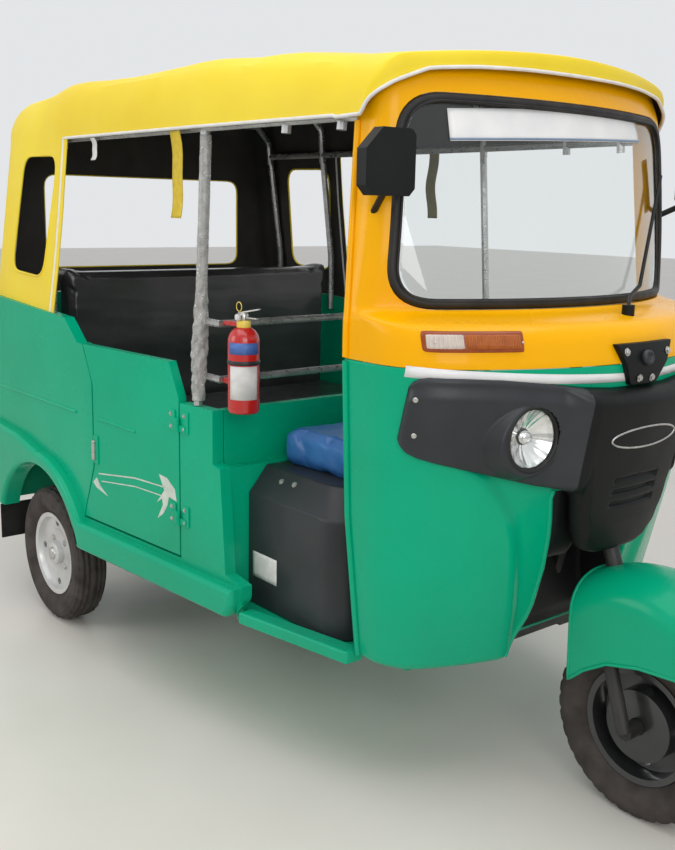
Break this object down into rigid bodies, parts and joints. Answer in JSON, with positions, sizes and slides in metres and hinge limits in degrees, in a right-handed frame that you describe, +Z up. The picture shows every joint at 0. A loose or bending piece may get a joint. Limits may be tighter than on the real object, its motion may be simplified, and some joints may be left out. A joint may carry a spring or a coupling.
{
  "type": "three-wheeled auto rickshaw",
  "caption": "Three-wheeled passenger auto rickshaw with a steel cowl, fabric hood, half doors, bench seat, steered front wheel and a rear engine lid.",
  "frame": {"origin": "on the ground under the middle of the bounding box", "axes": "+X forward, +Y to the vehicle's left, +Z up"},
  "size_m": [2.75, 1.348, 1.848],
  "materials": {
    "black_paint": "satin black",
    "green_paint": "gloss green",
    "yellow_paint": "gloss yellow",
    "black_rubber": "matt",
    "clear_glass": "clear",
    "dark_plastic": "satin",
    "lamp_glass": "clear lens",
    "amber_lens": "amber lens",
    "red_lens": "red lens",
    "steel_tube": "bright",
    "canopy_vinyl": "coated cloth",
    "seat_vinyl": "black vinyl",
    "driver_vinyl": "blue cover",
    "engine_metal": "cast",
    "silencer_steel": "dull",
    "red_paint": "gloss red",
    "wheel_paint": "silver",
    "tyre_rubber": "matt"
  },
  "bodies": {
    "body": {"chassis_frame": "black_paint", "floor_pan": "green_paint", "cowl_lower": "green_paint", "cowl_upper": "yellow_paint", "windscreen_seal": "black_rubber", "windscreen_glass": "clear_glass", "headlamp_mask": "dark_plastic", "nose_grille": "dark_plastic", "headlamps": "lamp_glass", "front_indicators": "amber_lens", "centre_bracket": "dark_plastic", "wiper": "dark_plastic", "mirrors": "dark_plastic", "dashboard": "dark_plastic", "bulkhead": "green_paint", "partition_rails": "steel_tube", "hood_frame": "steel_tube", "canopy": "canopy_vinyl", "tub_side_right": "green_paint", "tub_side_left": "green_paint", "rear_panel": "green_paint", "rear_bumper": "black_paint", "tail_lamps": "red_lens", "seat_base": "green_paint", "seat_cushion": "seat_vinyl", "seat_backrest": "seat_vinyl", "underseat_box": "dark_plastic", "driver_cushion": "driver_vinyl", "step_rails": "green_paint", "engine_block": "engine_metal", "silencer": "silencer_steel", "rear_suspension": "black_paint", "extinguisher": "red_paint", "mud_flaps": "black_rubber"},
    "steering": {"steering_fork": "black_paint", "handlebar": "dark_plastic", "front_mudguard": "green_paint"},
    "front_wheel": {"rim_front": "wheel_paint", "tyre_front": "tyre_rubber"},
    "rear_wheel_right": {"rim_rear_right": "wheel_paint", "tyre_rear_right": "tyre_rubber"},
    "rear_wheel_left": {"rim_rear_left": "wheel_paint", "tyre_rear_left": "tyre_rubber"},
    "right_door": {"door_right": "green_paint"},
    "left_door": {"door_left": "green_paint"},
    "engine_cover": {"engine_lid": "green_paint"}
  },
  "joints": [
    {"name": "steering_turn", "type": "hinge", "parent": "body", "child": "steering", "pos_m": [0.76, 0, 1.12], "axis": [-0.342, 0, 0.9397], "range_deg": [-35, 35]},
    {"name": "front_wheel_spin", "type": "hinge", "parent": "steering", "child": "front_wheel", "pos_m": [1.075, 0, 0.235], "axis": [0, 1, 0], "continuous": true},
    {"name": "rear_right_wheel_spin", "type": "hinge", "parent": "body", "child": "rear_wheel_right", "pos_m": [-0.925, -0.575, 0.235], "axis": [0, 1, 0], "continuous": true},
    {"name": "rear_left_wheel_spin", "type": "hinge", "parent": "body", "child": "rear_wheel_left", "pos_m": [-0.925, 0.575, 0.235], "axis": [0, 1, 0], "continuous": true},
    {"name": "right_door_swing", "type": "hinge", "parent": "body", "child": "right_door", "pos_m": [-0.0885, -0.6091, 0.7], "axis": [0, 0, 1], "range_deg": [0, 80]},
    {"name": "left_door_swing", "type": "hinge", "parent": "body", "child": "left_door", "pos_m": [-0.0885, 0.6091, 0.7], "axis": [0, 0, -1], "range_deg": [0, 80]},
    {"name": "engine_lid_lift", "type": "hinge", "parent": "body", "child": "engine_cover", "pos_m": [-1.338, 0, 0.828], "axis": [0, 1, 0], "range_deg": [0, 75]}
  ]
}
